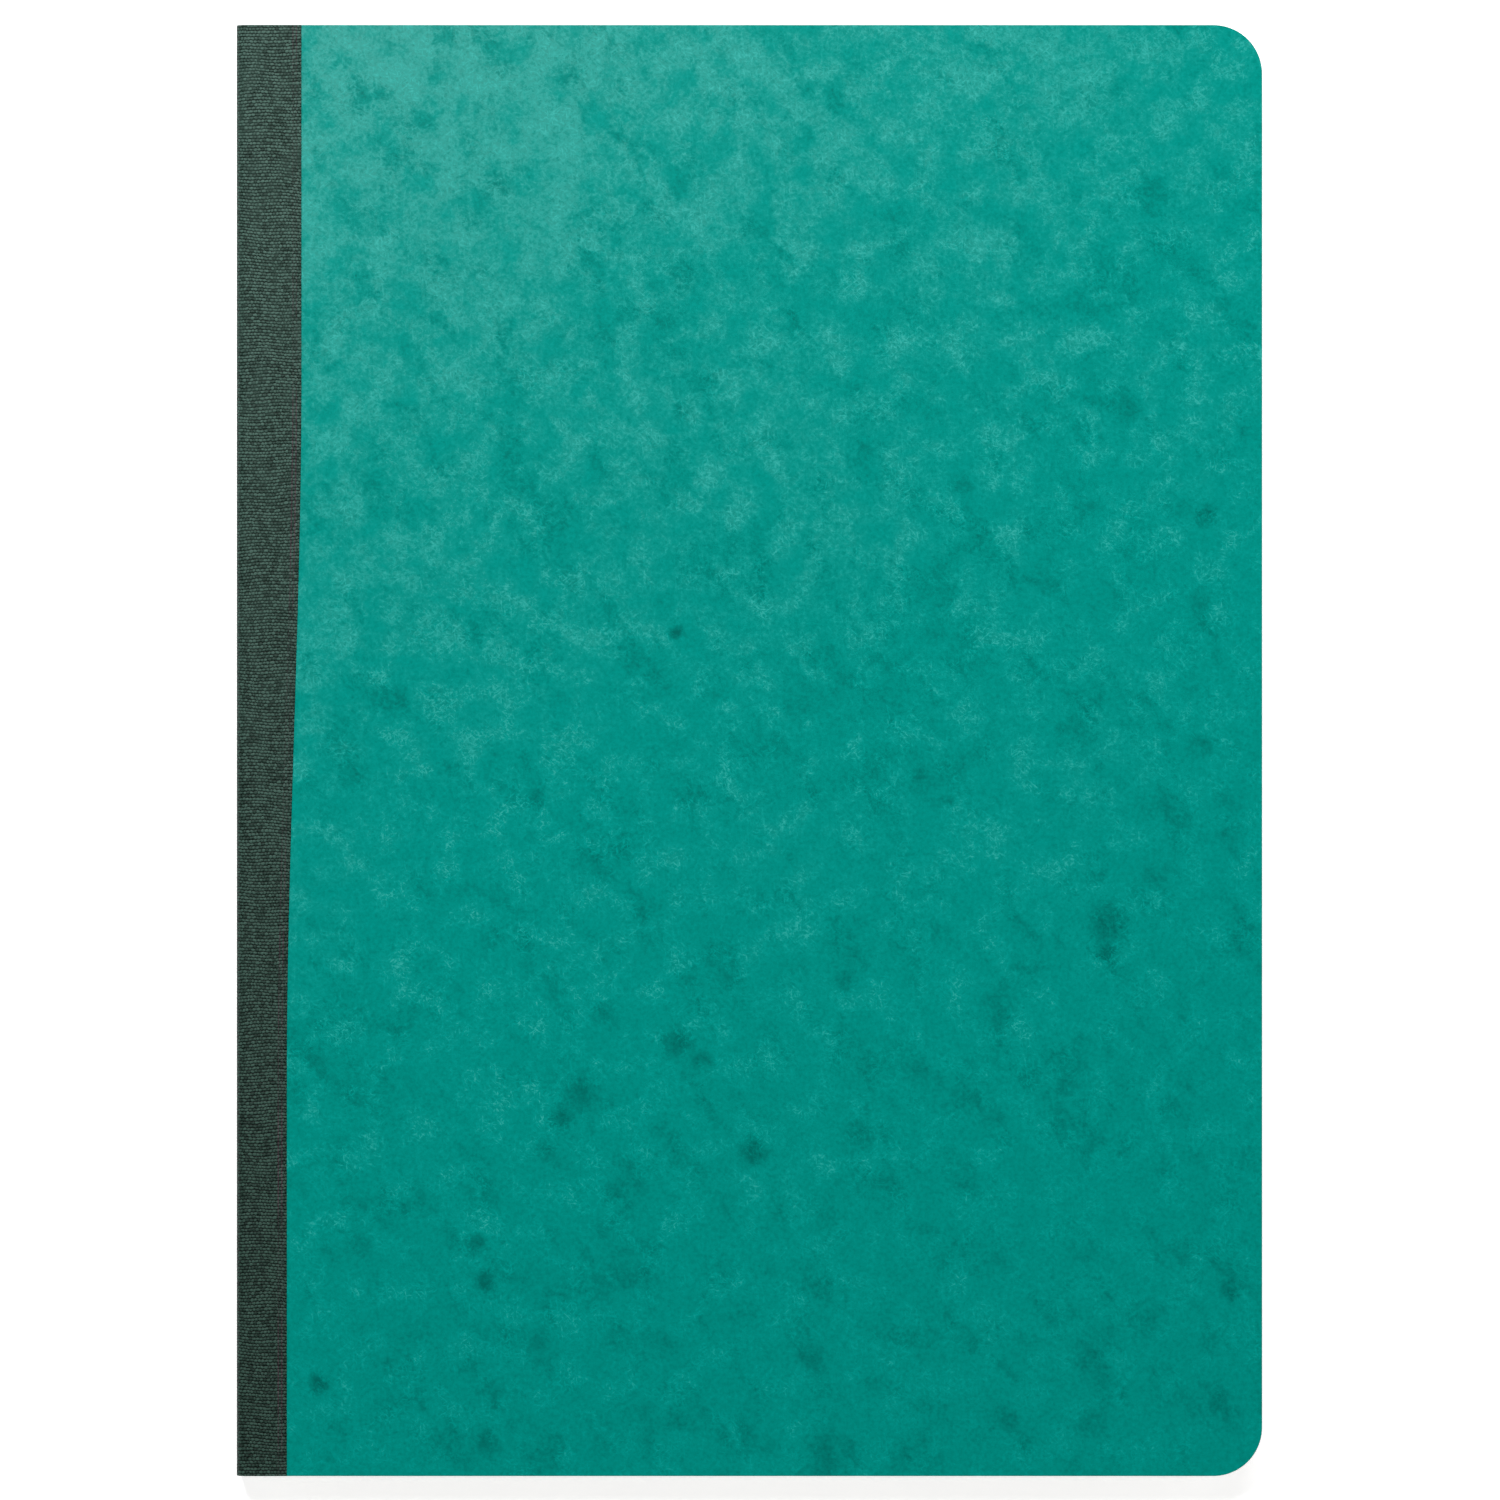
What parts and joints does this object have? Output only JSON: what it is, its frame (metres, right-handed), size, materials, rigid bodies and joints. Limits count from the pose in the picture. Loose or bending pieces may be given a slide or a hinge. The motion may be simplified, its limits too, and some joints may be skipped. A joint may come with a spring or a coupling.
{
  "type": "cloth-spined bound notebook",
  "caption": "Bound notebook with flush-cut pressboard covers, round fore-edge corners and a cloth strip over its sewn spine.",
  "frame": {"origin": "middle of the footprint, on the surface that the closed book lies on", "axes": "+X from the spine to the fore-edge, +Y from tail to head, +Z from the back cover up to the front cover"},
  "size_m": [0.21, 0.297, 0.0124],
  "materials": {
    "pressboard": "mottled, calendered and lacquered",
    "book_cloth": "plain weave, starched",
    "page_paper": "uncoated writing paper",
    "endpaper": "uncoated",
    "thread": "twisted, waxed",
    "glue": "dried white glue"
  },
  "bodies": {
    "block": {"page_block": "page_paper", "sewing_thread": "thread", "spine_glue": "glue", "spine_cloth": "book_cloth"},
    "front": {"front_cover": "pressboard", "front_cloth_flap": "book_cloth", "front_pastedown": "endpaper"},
    "back": {"back_cover": "pressboard", "back_cloth_flap": "book_cloth", "back_pastedown": "endpaper"}
  },
  "joints": [
    {"name": "front_cover_hinge", "type": "hinge", "parent": "block", "child": "front", "pos_m": [-0.1044, 0, 0.01183], "axis": [0, -1, 0], "range_deg": [0, 180], "deforming": ["spine_cloth"]},
    {"name": "back_cover_hinge", "type": "hinge", "parent": "block", "child": "back", "pos_m": [-0.1044, 0, 0.0006], "axis": [0, 1, 0], "range_deg": [0, 180], "deforming": ["spine_cloth"]}
  ]
}
